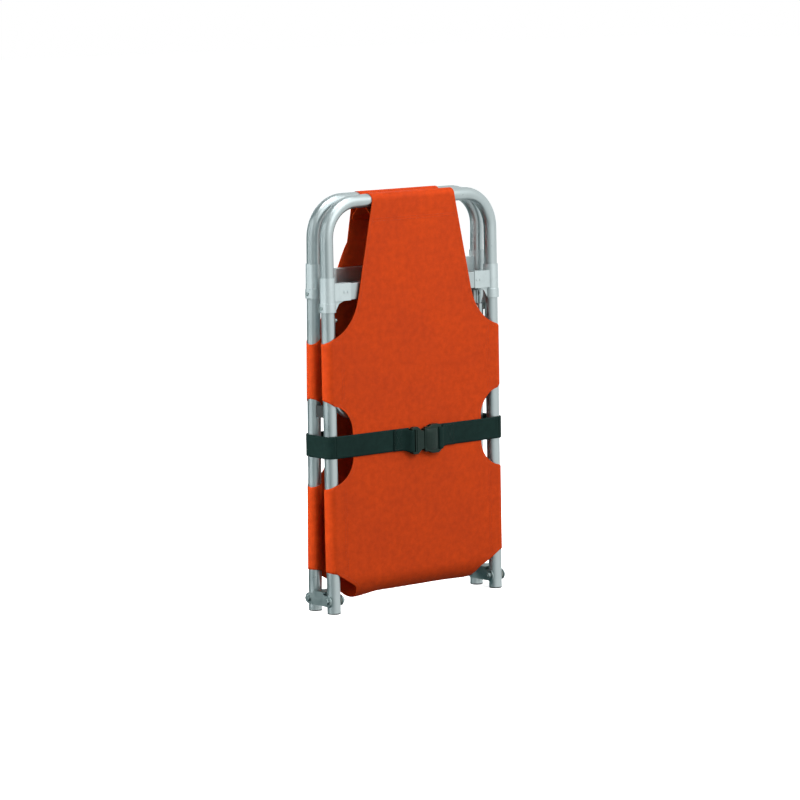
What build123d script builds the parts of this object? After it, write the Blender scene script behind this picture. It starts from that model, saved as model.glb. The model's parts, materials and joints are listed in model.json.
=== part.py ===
from build123d import *
import os
from math import radians, sin, sqrt

# A two-fold canvas stretcher, standing folded on its four rail ends.
# +X is the stretcher's right-hand side, -Y the front half, +Z up. The origin is on the floor,
# midway between the rails and midway through the folded depth, buckle included. Millimetres.

# ---- rails and handle bars ----
RAIL_PITCH = 482.0          # left to right, between rail centre lines
RAIL_R = 15.0
RAIL_WALL = 1.8
FRAME_BEND = 80.0           # centre-line radius of the two handle corners
HANDLE_Z = {"front": 918.0, "rear": 920.0}
PLUG_RIM = 3.0
PLUG_STEM = 15.0
DEPTH_SHIFT = 5.6           # the buckle stands out in front, so the hinge line is this far back

# ---- fold hinge ----
HINGE_GAP = 66.0            # front to rear, between hinge bolts
HINGE_Z = 30.0
LEAN = 0.7                  # each half leans inwards by this many degrees
LINK_R = 12.5
LINK_T = 3.0
LINK_INNER = 16.0           # rail centre line to the inner face of a link's side plate
LINK_WEB_Z = (46.0, 49.0)
HINGE_BOLT_R = 4.0
BORE_GAP = 0.05             # radial play of a pin in its hole

# ---- crossbars and their sleeves ----
RING_Z = {"front": 676.0, "rear": 705.0}
RING_H = 21.0
RING_R = 18.4
SLEEVE_H = 56.0
SLEEVE_R = 17.2
SLEEVE_BORE = 15.1
BAR_H = 37.0
BAR_D = 19.0
BAR_WALL = 1.6
BAR_OUT = 1.0               # the bar sits this far outside the rail centre plane
SOCKET_END_X = 183.0
SOCKET_WALL = 0.9
SOCKET_FIT = 0.1

# ---- folding legs, both folded down side by side between the two halves ----
LEG_R = 9.0
LEG_WALL = 1.5
LEG_END = 7.5               # tube beyond the pivot
LEG_PITCH = 438.0
LEG_BEND = 60.0
LEG_LENGTH = 225.0          # pivot to the outside of the foot bar
LEG_DROP = 21.0             # pivot below the sleeve ring
LEG_INSET = 16.0            # pivot inside the rail centre plane
LEG_GAP = 0.7               # each side of a leg arm, filled by a washer
LUG_R = 7.5
LUG_T = 3.0
LEG_BOLT_R = 2.5
LEG_NUT_T = 4.0
SCREW_R = 2.5
SCREW_HEAD_R = 4.5
SCREW_HEAD_T = 2.2
SCREW_SEAT = 0.6            # depth of the flat spot under a screw's head
FOOT_R = 11.0
FOOT_X = (126.0, 152.0)

# ---- canvas ----
CLOTH = 1.5
HEM_R = 15.3                # inside radius of the hem around a rail
HEM_LOW = (90.0, 290.0)
HEM_HIGH = (468.0, 617.0)
CUT_X = 190.0               # inner edge of the hand holes
CUT_R = 48.0
NECK_TOP_X = {"front": 121.0, "rear": 116.0}
NECK_LOW = {"front": (166.0, 705.0), "rear": (131.0, 822.0)}
SHOULDER = {"front": (193.0, 648.0), "rear": (184.0, 718.0)}
FOLD_HALF_WIDTH = 176.0
FOLD_R = 49.0
FOLD_LOW_Z = 31.0

# ---- strap and buckle ----
STRAP_Z = (351.0, 401.0)
STRAP_T = 1.5
STRAP_OUT = 17.3            # rail centre plane to the strap's inner face
BUCKLE_MID_Z = 371.0
BUCKLE_X = (-28.0, 59.0)
BUCKLE_T = 13.0

SIDE = {"front": -1, "rear": 1}
EDGES = (-1, 1)
os.makedirs("parts", exist_ok=True)


def save(shape, name):
    """Centre one sub-part on the folded depth and write it to its own STEP file."""
    export_step(Pos(0, DEPTH_SHIFT, 0) * shape, f"parts/{name}.step")


def group(solids):
    """Collect separate solids in one sub-part."""
    return Compound([solid for shape in solids for solid in shape.solids()])


def leaned(shape, half):
    """Tilt a part of one half about its hinge bolts, top inwards."""
    axis = Axis((0, SIDE[half] * HINGE_GAP / 2, HINGE_Z), (1, 0, 0))
    return shape.rotate(axis, SIDE[half] * LEAN)


def rail_y(half):
    """Rail centre plane of an upright half."""
    return SIDE[half] * HINGE_GAP / 2


def outward(half, distance):
    """Y of a plane this far outside the rail centre plane."""
    return rail_y(half) + SIDE[half] * distance


def block(x, y, z):
    """A box from its three (low, high) ranges, in any order."""
    spans = [sorted(pair) for pair in (x, y, z)]
    size = [high - low for low, high in spans]
    middle = [(high + low) / 2 for low, high in spans]
    return Pos(*middle) * Box(*size)


def rod_x(radius, x, y, z):
    """A round bar along X."""
    low, high = sorted(x)
    return Pos((low + high) / 2, y, z) * Rot(0, 90, 0) * Cylinder(radius, high - low)


def rod_z(radius, x, y, z):
    """A round bar along Z."""
    return Pos(x, y, (z[0] + z[1]) / 2) * Cylinder(radius, z[1] - z[0])


def hex_x(across_flats, x, y, z):
    """A hexagon head or nut along X."""
    low, high = sorted(x)
    plane = Plane(origin=(low, y, z), x_dir=(0, 1, 0), z_dir=(1, 0, 0))
    return extrude(plane * RegularPolygon(across_flats / sqrt(3), 6), high - low)


def extrude_x(face, x):
    """Extrude a sketch drawn in (Y, Z) between two X planes."""
    low, high = sorted(x)
    plane = Plane(origin=(low, 0, 0), x_dir=(0, 1, 0), z_dir=(1, 0, 0))
    return extrude(plane * face, high - low)


def extrude_y(face, y):
    """Extrude a sketch drawn in (X, Z) between two Y planes."""
    low, high = sorted(y)
    plane = Plane(origin=(0, high, 0), x_dir=(1, 0, 0), z_dir=(0, -1, 0))
    return extrude(plane * face, high - low)


def u_path(half_pitch, open_z, closed_z, bend, y):
    """Centre line of a U in the XZ plane, from the open end round to the open end."""
    way = 1 if closed_z > open_z else -1
    turn_z = closed_z - way * bend
    turn_x = half_pitch - bend
    diagonal = bend * sqrt(0.5)
    left = Line((-half_pitch, y, open_z), (-half_pitch, y, turn_z))
    corner_x = turn_x + diagonal
    corner_z = turn_z + way * diagonal
    first = ThreePointArc(left @ 1, (-corner_x, y, corner_z), (-turn_x, y, closed_z))
    across = Line(first @ 1, (turn_x, y, closed_z))
    second = ThreePointArc(across @ 1, (corner_x, y, corner_z), (half_pitch, y, turn_z))
    right = Line(second @ 1, (half_pitch, y, open_z))
    return left + first + across + second + right


def u_tube(half_pitch, open_z, closed_z, bend, y, radius, wall):
    """A bent tube with open ends."""
    path = u_path(half_pitch, open_z, closed_z, bend, y)
    section = Plane(origin=(-half_pitch, y, open_z), z_dir=(0, 0, 1))
    outer = sweep(section * Circle(radius), path=path)
    inner = sweep(section * Circle(radius - wall), path=path)
    return outer - inner


# ---------------------------------------------------------------- rails
def frame_tube(half):
    y = rail_y(half)
    tube = u_tube(RAIL_PITCH / 2, PLUG_RIM, HANDLE_Z[half], FRAME_BEND, y, RAIL_R, RAIL_WALL)
    for edge in EDGES:
        x = edge * RAIL_PITCH / 2
        tube -= rod_x(HINGE_BOLT_R + BORE_GAP, (x - 20, x + 20), y, HINGE_Z)
        tube -= rod_x(SCREW_R + BORE_GAP, (x, x + edge * 20), y, screw_z(half))
    return leaned(tube, half)


def end_plugs(half):
    """Plastic plugs in the rail ends, trimmed level so that the stretcher stands on them."""
    plugs = []
    floor = block((-300, 300), (-100, 100), (-10, 0))
    for edge in EDGES:
        x = edge * RAIL_PITCH / 2
        rim = rod_z(RAIL_R, x, rail_y(half), (-1, PLUG_RIM))
        stem = rod_z(RAIL_R - RAIL_WALL - 0.05, x, rail_y(half), (PLUG_RIM, PLUG_STEM))
        stem -= rod_z(RAIL_R - RAIL_WALL - 3, x, rail_y(half), (PLUG_RIM + 1, PLUG_STEM))
        plug = leaned(rim + stem, half) - floor
        plugs.append(chamfer(plug.edges().group_by(Axis.Z)[0], 1.0))
    return group(plugs)


# ---------------------------------------------------------------- crossbar and its sleeves
def bar_plane(half):
    """Y of the crossbar's middle plane."""
    return outward(half, BAR_OUT)


def bar_z(half):
    """Height of the crossbar's centre line."""
    return RING_Z[half] + RING_H + BAR_H / 2 + 4.5


def screw_z(half):
    """Height of the screw through each sleeve's ring."""
    return RING_Z[half] + RING_H / 2


def screw_face(edge):
    """X of the flat spot that a sleeve screw's head sits on."""
    return edge * (RAIL_PITCH / 2 + RING_R - SCREW_SEAT)


def pivot_y(half):
    return outward(half, -LEG_INSET)


def pivot_z(half):
    return RING_Z[half] - LEG_DROP


def lug_x(edge):
    """X range of a leg lug, just outside the leg's arm."""
    inner = LEG_PITCH / 2 + LEG_R + LEG_GAP
    return edge * inner, edge * (inner + LUG_T)


def leg_lug(half, edge):
    """Ear under the sleeve ring that carries the leg's pivot bolt."""
    boss = Pos(pivot_y(half), pivot_z(half)) * Circle(LUG_R)
    root = Pos(outward(half, -11), RING_Z[half] + 3) * Rectangle(5, 5)
    return extrude_x(make_hull((boss + root).edges()), lug_x(edge))


def sleeve(half, edge):
    """Cast sleeve: clamp ring, upper tube, crossbar socket, gusset and leg lug in one piece."""
    x = edge * RAIL_PITCH / 2
    y = rail_y(half)
    low = RING_Z[half]
    mid = low + RING_H
    high = mid + SLEEVE_H
    ring = rod_z(RING_R, x, y, (low, mid))
    ring = fillet(ring.edges().filter_by(GeomType.CIRCLE), 0.8)
    upper = rod_z(SLEEVE_R, x, y, (mid, high))
    socket_h = BAR_H + 2 * (SOCKET_WALL + SOCKET_FIT)
    socket_d = BAR_D + 2 * (SOCKET_WALL + SOCKET_FIT)
    centre_z = bar_z(half)
    face_y = bar_plane(half)
    socket = block((x, edge * SOCKET_END_X), (face_y - socket_d / 2, face_y + socket_d / 2),
                   (centre_z - socket_h / 2, centre_z + socket_h / 2))
    hollow = block((edge * (SOCKET_END_X - 1), edge * (RAIL_PITCH / 2 - 22)),
                   (face_y - BAR_D / 2 - SOCKET_FIT, face_y + BAR_D / 2 + SOCKET_FIT),
                   (centre_z - BAR_H / 2 - SOCKET_FIT, centre_z + BAR_H / 2 + SOCKET_FIT))
    web_low = centre_z - socket_h / 2
    gusset = Polyline((x, low + 1), (x - edge * 18.5, low + 4), (x - edge * 27, low + 18),
                      (x - edge * 45, web_low + 1), (x, web_low + 1), close=True)
    gusset = extrude_y(make_face(gusset), (outward(half, 3), outward(half, 6.5)))
    body = ring + upper + (socket - hollow) + gusset + leg_lug(half, edge)
    body -= rod_z(SLEEVE_BORE, x, y, (low - 40, high + 10))
    body -= rod_x(LEG_BOLT_R + BORE_GAP, lug_x(edge), pivot_y(half), pivot_z(half))
    body -= rod_x(SCREW_R + BORE_GAP, (x, x + edge * 30), y, screw_z(half))
    body -= rod_x(SCREW_HEAD_R + BORE_GAP, (screw_face(edge), x + edge * 30), y, screw_z(half))
    for rivet_x in rivet_places(edge):
        body -= rivet_hole(half, rivet_x)
    return leaned(body, half)


def rivet_places(edge):
    return [edge * (SOCKET_END_X + offset) for offset in (7, 17)]


def rivet_hole(half, x):
    near = bar_plane(half)
    far = outward(half, BAR_OUT + BAR_D)
    return Pos(x, (near + far) / 2, bar_z(half)) * Rot(90, 0, 0) * Cylinder(2.05, abs(far - near))


def crossbar(half):
    y = bar_plane(half)
    z = bar_z(half)
    reach = SOCKET_END_X + 22
    bar = block((-reach, reach), (y - BAR_D / 2, y + BAR_D / 2), (z - BAR_H / 2, z + BAR_H / 2))
    bar = fillet(bar.edges().filter_by(Axis.X), 1.5)
    hollow = block((-reach, reach), (y - BAR_D / 2 + BAR_WALL, y + BAR_D / 2 - BAR_WALL),
                   (z - BAR_H / 2 + BAR_WALL, z + BAR_H / 2 - BAR_WALL))
    bar -= hollow
    for edge in EDGES:
        for x in rivet_places(edge):
            bar -= rivet_hole(half, x)
    return leaned(bar, half)


def crossbar_rivets(half):
    """Two pop rivets through each socket's outer wall."""
    rivets = []
    face = outward(half, BAR_OUT + BAR_D / 2 + SOCKET_WALL + SOCKET_FIT)
    inside = face - SIDE[half] * 4
    for edge in EDGES:
        for x in rivet_places(edge):
            shank = Pos(x, (face + inside) / 2, bar_z(half)) * Rot(90, 0, 0) * Cylinder(2.0, 4)
            head = Pos(x, face + SIDE[half] * 0.5, bar_z(half)) * Rot(90, 0, 0) * Cylinder(3.4, 1.0)
            rivets.append(leaned(shank + head, half))
    return group(rivets)


def sleeve_screws(half):
    """A screw through the outer side of each sleeve's ring into the rail."""
    screws = []
    for edge in EDGES:
        face = screw_face(edge)
        inside = edge * (RAIL_PITCH / 2 + RAIL_R - RAIL_WALL - 3)
        shank = rod_x(SCREW_R, (inside, face), rail_y(half), screw_z(half))
        head = rod_x(SCREW_HEAD_R, (face, face + edge * SCREW_HEAD_T), rail_y(half), screw_z(half))
        screws.append(leaned(shank + head, half))
    return group(screws)


# ---------------------------------------------------------------- legs, both folded down
def foot_bar_z(half):
    return pivot_z(half) - LEG_LENGTH + LEG_R


def leg_tube(half):
    y = pivot_y(half)
    z = pivot_z(half)
    tube = u_tube(LEG_PITCH / 2, z + LEG_END, foot_bar_z(half), LEG_BEND, y, LEG_R, LEG_WALL)
    for edge in EDGES:
        x = edge * LEG_PITCH / 2
        tube -= rod_x(LEG_BOLT_R + BORE_GAP, (x - 12, x + 12), y, z)
    return leaned(tube, half)


def leg_feet(half):
    feet = []
    for edge in EDGES:
        x = [edge * value for value in FOOT_X]
        foot = rod_x(FOOT_R, x, pivot_y(half), foot_bar_z(half))
        foot = fillet(foot.edges().filter_by(GeomType.CIRCLE), 1.2)
        foot -= rod_x(LEG_R + 0.05, x, pivot_y(half), foot_bar_z(half))
        feet.append(leaned(foot, half))
    return group(feet)


def nut_face(edge):
    """X of the inboard face of a leg's inner washer."""
    return edge * (LEG_PITCH / 2 - LEG_R - LEG_GAP)


def leg_bolts(half):
    """Pivot bolts, riveted flush with the lug on the rail's side and threaded for the nut on the other."""
    bolts = []
    for edge in EDGES:
        outer = lug_x(edge)[1]
        tip = nut_face(edge) - edge * (LEG_NUT_T + 1.5)
        bolts.append(leaned(rod_x(LEG_BOLT_R, (outer, tip), pivot_y(half), pivot_z(half)), half))
    return group(bolts)


def leg_nuts(half):
    nuts = []
    for edge in EDGES:
        span = (nut_face(edge), nut_face(edge) - edge * LEG_NUT_T)
        nut = hex_x(8, span, pivot_y(half), pivot_z(half))
        nut -= rod_x(LEG_BOLT_R + BORE_GAP, span, pivot_y(half), pivot_z(half))
        nuts.append(leaned(nut, half))
    return group(nuts)


def leg_washers(half):
    """Nylon washers each side of each leg arm."""
    washers = []
    for edge in EDGES:
        for way in EDGES:
            start = edge * LEG_PITCH / 2 + way * (LEG_R + 0.05)
            span = (start, start + way * 0.6)
            washer = rod_x(5, span, pivot_y(half), pivot_z(half))
            washer -= rod_x(LEG_BOLT_R + BORE_GAP, span, pivot_y(half), pivot_z(half))
            washers.append(leaned(washer, half))
    return group(washers)


# ---------------------------------------------------------------- fold hinge
def hinge_link(edge):
    """Pressed steel channel: two side plates on the bolts and a web that stops the rail ends."""
    x = edge * RAIL_PITCH / 2
    web_y = HINGE_GAP / 2 - RAIL_R - 0.6
    ends = Circle(LINK_R)
    plate = make_hull((Pos(-HINGE_GAP / 2, HINGE_Z) * ends + Pos(HINGE_GAP / 2, HINGE_Z) * ends).edges())
    plate += Pos(0, (HINGE_Z + LINK_WEB_Z[1]) / 2) * Rectangle(2 * web_y, LINK_WEB_Z[1] - HINGE_Z)
    link = None
    for way in EDGES:
        span = (x + way * LINK_INNER, x + way * (LINK_INNER + LINK_T))
        cheek = extrude_x(plate, span)
        link = cheek if link is None else link + cheek
    reach = LINK_INNER + LINK_T
    link += block((x - reach, x + reach), (-web_y, web_y), LINK_WEB_Z)
    for way in EDGES:
        link -= rod_x(HINGE_BOLT_R + BORE_GAP, (x - 30, x + 30), way * HINGE_GAP / 2, HINGE_Z)
    return link


def hinge_bolts():
    bolts = []
    for edge in EDGES:
        for way in EDGES:
            y = way * HINGE_GAP / 2
            outer = edge * (RAIL_PITCH / 2 + LINK_INNER + LINK_T)
            inner = edge * (RAIL_PITCH / 2 - LINK_INNER - LINK_T - 9)
            shank = rod_x(HINGE_BOLT_R, (outer, inner), y, HINGE_Z)
            bolts.append(shank + hex_x(13, (outer, outer + edge * 5.3), y, HINGE_Z))
    return group(bolts)


def hinge_nuts():
    nuts = []
    for edge in EDGES:
        for way in EDGES:
            y = way * HINGE_GAP / 2
            face = edge * (RAIL_PITCH / 2 - LINK_INNER - LINK_T)
            span = (face, face - edge * 6.5)
            nut = hex_x(13, span, y, HINGE_Z)
            nuts.append(nut - rod_x(HINGE_BOLT_R + BORE_GAP, span, y, HINGE_Z))
    return group(nuts)


def hinge_washers():
    """Nylon washers between each rail and the link's side plates."""
    washers = []
    for edge in EDGES:
        for way in EDGES:
            for face in EDGES:
                start = edge * RAIL_PITCH / 2 + face * (RAIL_R + 0.05)
                span = (start, start + face * 0.9)
                y = way * HINGE_GAP / 2
                washer = rod_x(8.5, span, y, HINGE_Z)
                washers.append(washer - rod_x(HINGE_BOLT_R + BORE_GAP, span, y, HINGE_Z))
    return group(washers)


# ---------------------------------------------------------------- canvas
def panel_outline(half):
    """Canvas panel seen from the front: hem, hand holes, shoulders and neck."""
    x = RAIL_PITCH / 2
    top = HANDLE_Z[half]
    low, cut_low = HEM_LOW
    cut_high, shoulder = HEM_HIGH
    neck_x = NECK_TOP_X[half]
    neck_way = (-0.22, 1) if half == "front" else (-0.75, 1)
    right = [
        Line((0, low), (x, low)),
        Line((x, low), (x, cut_low)),
        Spline((x, cut_low), (CUT_X, cut_low + CUT_R + 12), tangents=((-1, 0.12), (0, 1))),
        Line((CUT_X, cut_low + CUT_R + 12), (CUT_X, cut_high - CUT_R - 12)),
        Spline((CUT_X, cut_high - CUT_R - 12), (x, cut_high), tangents=((0, 1), (1, 0.12))),
        Line((x, cut_high), (x, shoulder)),
        Spline((x, shoulder), SHOULDER[half], NECK_LOW[half], tangents=((-1, 0.3), neck_way)),
        Line(NECK_LOW[half], (neck_x, top)),
        Line((neck_x, top), (0, top)),
    ]
    right_half = make_face(Wire(right + [Line((0, top), (0, low))]))
    return right_half + mirror(right_half, about=Plane.YZ)


def canvas(half):
    """One panel with its hems around the rails and its neck around the handle bar."""
    y = rail_y(half)
    cloth = extrude_y(panel_outline(half), (outward(half, HEM_R), outward(half, HEM_R + CLOTH)))
    for edge in EDGES:
        x = edge * RAIL_PITCH / 2
        for span in (HEM_LOW, HEM_HIGH):
            cloth += rod_z(HEM_R + CLOTH, x, y, span)
    neck = (-NECK_TOP_X[half], NECK_TOP_X[half])
    cloth += rod_x(HEM_R + CLOTH, neck, y, HANDLE_Z[half])
    cloth -= rod_x(HEM_R, neck, y, HANDLE_Z[half])
    for edge in EDGES:
        cloth -= rod_z(HEM_R, edge * RAIL_PITCH / 2, y, (0, 800))
    return leaned(cloth, half)


def canvas_fold():
    """The loop of canvas that joins the two panels under the hinge line."""
    centre_z = FOLD_LOW_Z + FOLD_R
    top = HEM_LOW[0] - 0.6
    ring = Pos(0, centre_z) * (Circle(FOLD_R) - Circle(FOLD_R - CLOTH))
    ring -= Pos(0, centre_z + FOLD_R) * Rectangle(4 * FOLD_R, 2 * FOLD_R)
    strips = [Pos(way * (FOLD_R - CLOTH / 2), (centre_z + top) / 2) * Rectangle(CLOTH, top - centre_z)
              for way in EDGES]
    return extrude_x(ring + strips[0] + strips[1], (-FOLD_HALF_WIDTH, FOLD_HALF_WIDTH))


# ---------------------------------------------------------------- strap
def strap_run(x):
    """A flat run of webbing over the front panel."""
    faces = (outward("front", STRAP_OUT), outward("front", STRAP_OUT + STRAP_T))
    return leaned(block(x, faces, STRAP_Z), "front")


def lean_shift(z):
    """How far the lean has moved a rail inwards at this height."""
    return (z - HINGE_Z) * sin(radians(LEAN))


def strap_back():
    """The rest of the strap: round the four rails and across the back."""
    middle = (STRAP_Z[0] + STRAP_Z[1]) / 2
    x = RAIL_PITCH / 2
    y = HINGE_GAP / 2 - lean_shift(middle)
    inner_r = STRAP_OUT
    outer_r = STRAP_OUT + STRAP_T
    outer = RectangleRounded(2 * (x + outer_r), 2 * (y + outer_r), outer_r)
    inner = RectangleRounded(2 * (x + inner_r), 2 * (y + inner_r), inner_r)
    loop = outer - inner - Pos(0, -y - 20) * Rectangle(2 * x, 40)
    return Pos(0, 0, STRAP_Z[0]) * extrude(loop, STRAP_Z[1] - STRAP_Z[0])


# ---------------------------------------------------------------- side-release buckle
def buckle_block(x, depth, z):
    """A box in the buckle's frame: depth is measured outwards from the strap's inner face."""
    faces = [outward("front", STRAP_OUT + value) for value in depth]
    return block(x, faces, [BUCKLE_MID_Z + value for value in z])


def buckle_plate(points, depth):
    """A flat outline, given as its upper half from left to right, mirrored about the strap."""
    upper = [(x, BUCKLE_MID_Z + z) for x, z in points]
    lower = [(x, BUCKLE_MID_Z - z) for x, z in reversed(points)]
    faces = [outward("front", STRAP_OUT + value) for value in depth]
    return extrude_y(make_face(Polyline(*upper, *lower, close=True)), faces)


def buckle_socket():
    """The half that stays on the right-hand strap: a flat housing with two side windows."""
    left = 9.0
    right = BUCKLE_X[1]
    body = buckle_plate([(left, 25), (left + 12, 28), (left + 24, 33), (right - 8, 33), (right, 27)],
                        (0, BUCKLE_T))
    body = fillet(body.edges().filter_by(Axis.Y), 2.0)
    body = fillet(body.faces().filter_by(Axis.Y).edges(), 1.6)
    body -= buckle_block((left - 1, 42), (2.6, BUCKLE_T - 2.6), (-22.5, 22.5))
    for way in EDGES:
        body -= buckle_block((left + 2, 30), (2.6, BUCKLE_T - 2.6), (way * 20, way * 40))
    body -= buckle_block((right - 11, right - 6), (-1, BUCKLE_T + 1), (-25.5, 25.5))
    return leaned(body, "front")


def buckle_plug():
    """The half on the left-hand strap: a flange with a webbing slot and a centre guide."""
    left = BUCKLE_X[0]
    flange = buckle_plate([(left, 27), (left + 6, 31), (left + 18, 31), (left + 30, 21), (8, 21)],
                          (0.4, BUCKLE_T - 0.4))
    flange = fillet(flange.edges().filter_by(Axis.Y), 2.0)
    flange = fillet(flange.faces().filter_by(Axis.Y).edges(), 1.4)
    ridge = buckle_block((left + 14, left + 18), (BUCKLE_T - 2, BUCKLE_T + 0.8), (-25, 25))
    ridge = fillet(ridge.edges().filter_by(Axis.Z), 0.8)
    guide = buckle_block((6, 38), (4, BUCKLE_T - 4), (-5, 5))
    slot = buckle_block((left + 5, left + 10), (-1, BUCKLE_T + 2), (-25.5, 25.5))
    return leaned(flange + ridge + guide - slot, "front")


def buckle_catch(way):
    """One sprung arm with the thumb pad that shows in the socket's side window."""
    arm = buckle_block((8.4, 32), (3.4, BUCKLE_T - 3.4), (way * 13.5, way * 17))
    pad = buckle_block((12.5, 27), (3.4, BUCKLE_T - 3.4), (way * 17, way * 28.5))
    pad = fillet(pad.edges().filter_by(Axis.Y), 2.0)
    return leaned(arm + pad, "front")


# ---------------------------------------------------------------- rubber buffers
def rail_buffers():
    """Rubber blocks on the front rails that keep the folded rails apart."""
    buffers = []
    for edge in EDGES:
        x = edge * RAIL_PITCH / 2
        y = rail_y("front")
        face = outward("front", -40)
        buffer = block((x - 7, x + 7), (y, face), (441, 467))
        buffer = fillet(buffer.edges().filter_by(Axis.X), 1.5)
        buffers.append(leaned(buffer - rod_z(RAIL_R + 0.05, x, y, (400, 500)), "front"))
    return group(buffers)


def build():
    for half in SIDE:
        save(frame_tube(half), f"{half}_frame_tube")
        save(end_plugs(half), f"{half}_rail_end_plugs")
        save(crossbar(half), f"{half}_crossbar")
        save(crossbar_rivets(half), f"{half}_crossbar_rivets")
        save(sleeve_screws(half), f"{half}_sleeve_screws")
        save(leg_tube(half), f"{half}_leg_tube")
        save(leg_feet(half), f"{half}_leg_feet")
        save(leg_bolts(half), f"{half}_leg_pivot_bolts")
        save(leg_nuts(half), f"{half}_leg_pivot_nuts")
        save(leg_washers(half), f"{half}_leg_pivot_washers")
        save(canvas(half), f"{half}_canvas")
        for edge, name in zip(EDGES, ("left", "right")):
            save(sleeve(half, edge), f"{half}_sleeve_{name}")
    for edge, name in zip(EDGES, ("left", "right")):
        save(hinge_link(edge), f"hinge_link_{name}")
    save(hinge_bolts(), "hinge_bolts")
    save(hinge_nuts(), "hinge_nuts")
    save(hinge_washers(), "hinge_washers")
    save(canvas_fold(), "canvas_fold")
    save(rail_buffers(), "rail_buffers")
    save(strap_run((-RAIL_PITCH / 2, BUCKLE_X[0] - 0.3)), "strap_front_left")
    save(strap_run((BUCKLE_X[1] + 0.3, RAIL_PITCH / 2)), "strap_front_right")
    save(strap_back(), "strap_back")
    save(buckle_socket(), "buckle_socket")
    save(buckle_plug(), "buckle_plug")
    save(buckle_catch(1), "buckle_catch_upper")
    save(buckle_catch(-1), "buckle_catch_lower")


build()
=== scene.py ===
"""Looks of the folding stretcher: canvas, webbing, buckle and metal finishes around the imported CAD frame."""

import json
from math import atan2, cos, exp, hypot, pi, radians, sin, tau

import bpy
from mathutils import Matrix, Vector, noise


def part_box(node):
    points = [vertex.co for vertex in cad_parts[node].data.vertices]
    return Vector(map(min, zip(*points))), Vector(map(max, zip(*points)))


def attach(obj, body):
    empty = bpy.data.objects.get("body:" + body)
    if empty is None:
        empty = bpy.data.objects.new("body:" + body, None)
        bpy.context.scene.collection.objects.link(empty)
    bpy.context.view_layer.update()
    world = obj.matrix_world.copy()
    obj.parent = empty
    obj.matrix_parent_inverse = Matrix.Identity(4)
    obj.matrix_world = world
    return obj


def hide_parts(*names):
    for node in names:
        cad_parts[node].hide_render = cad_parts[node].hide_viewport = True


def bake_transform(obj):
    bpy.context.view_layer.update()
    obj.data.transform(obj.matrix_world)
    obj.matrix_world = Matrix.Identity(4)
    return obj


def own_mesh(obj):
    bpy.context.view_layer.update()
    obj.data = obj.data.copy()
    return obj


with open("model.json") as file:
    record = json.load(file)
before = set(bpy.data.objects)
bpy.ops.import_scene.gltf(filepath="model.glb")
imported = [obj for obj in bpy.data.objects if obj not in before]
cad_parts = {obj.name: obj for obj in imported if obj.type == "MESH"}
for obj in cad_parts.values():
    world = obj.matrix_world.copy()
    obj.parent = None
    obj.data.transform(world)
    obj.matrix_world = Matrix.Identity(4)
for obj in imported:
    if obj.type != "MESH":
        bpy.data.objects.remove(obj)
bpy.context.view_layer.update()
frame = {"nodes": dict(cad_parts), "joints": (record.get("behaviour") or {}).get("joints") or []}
JOINTS = {joint["name"]: joint for joint in frame["joints"]}
NODES = frame["nodes"]

# ---------------------------------------------------------------- sizes, in metres
SIDE = {"front": -1, "rear": 1}
FRONT_HINGE = JOINTS["front_fold"]["pos_m"]
REAR_HINGE = JOINTS["rear_fold"]["pos_m"]
HINGE_GAP = REAR_HINGE[1] - FRONT_HINGE[1]
MID_Y = (REAR_HINGE[1] + FRONT_HINGE[1]) / 2
HINGE_Z = FRONT_HINGE[2]
PRESS = JOINTS["buckle_upper_press"]["axis"]
LEAN = atan2(-PRESS[1], -PRESS[2])
RAIL_R = 0.015
RAIL_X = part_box("front_frame_tube")[1][0] - RAIL_R
HANDLE_Z = {"front": 0.918, "rear": 0.920}

CLOTH_T = 0.0011
CLOTH_OUT = 0.01605          # rail centre plane to the middle of the cloth
HEM_SEAM = 0.022             # hem seam to the rail centre line
HEM_FLAP = 0.010             # cloth beyond the seam, behind the panel
HEM_SLANT = {"front": ((0.005, -0.008), (0.013, -0.010)), "rear": ((0.005, -0.008), (0.013, -0.014))}
SLANT_RUN = 0.062            # cloth round the rail over which a hem's ends rise and return
NECK_SEAM = 0.038
NECK_FLAP = 0.012
BEHIND = 0.0013              # a hem's flap lies this far behind the panel
HEM_LOW = (0.090, 0.290)
HEM_HIGH = (0.468, 0.617)
CUT_X = 0.190
CUT_RISE = 0.060
FOLD_R = 0.04825
FOLD_TOP = 0.080             # height of the loop's centre
FOLD_END_X = 0.165
FOLD_SIDE_X = 0.187
DROOP = {-1: 0.0065, 1: 0.002}     # how far the loop hangs lower at its left and right ends
DROOP_FROM = 0.095

STRAP_Z = (0.351, 0.401)
STRAP_OUT = 0.0173
STRAP_T = 0.0015
BUCKLE_Z = 0.371
BUCKLE_X = (-0.028, 0.059)
BUCKLE_T = 0.013
DOME_X = (0.0115, 0.0465)
DOME_REACH = 0.0240          # half of the dome's height on the socket
DOME_RISE = 0.0042


def place(half, x, out, z):
    """A point of an upright half, out from its rail plane, in the row frame."""
    side = SIDE[half]
    angle = side * LEAN
    across = side * out
    up = z - HINGE_Z
    y = side * HINGE_GAP / 2 + across * cos(angle) - up * sin(angle)
    return Vector((x, MID_Y + y, HINGE_Z + across * sin(angle) + up * cos(angle)))


# ---------------------------------------------------------------- node helpers
def node(tree, kind, inputs=None, **settings):
    """A shader node with its settings, and its inputs set or linked."""
    made = tree.nodes.new(kind)
    for name, value in settings.items():
        setattr(made, name, value)
    for name, value in (inputs or {}).items():
        if isinstance(value, bpy.types.NodeSocket):
            tree.links.new(value, made.inputs[name])
        else:
            made.inputs[name].default_value = value
    return made


def material(name, **sockets):
    """A Principled material, with values set straight on the shader."""
    made = bpy.data.materials.new(name)
    made.use_nodes = True
    tree = made.node_tree
    shader = tree.nodes["Principled BSDF"]
    for key, value in sockets.items():
        shader.inputs[key.replace("_", " ")].default_value = value
    return made, tree, shader


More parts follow.
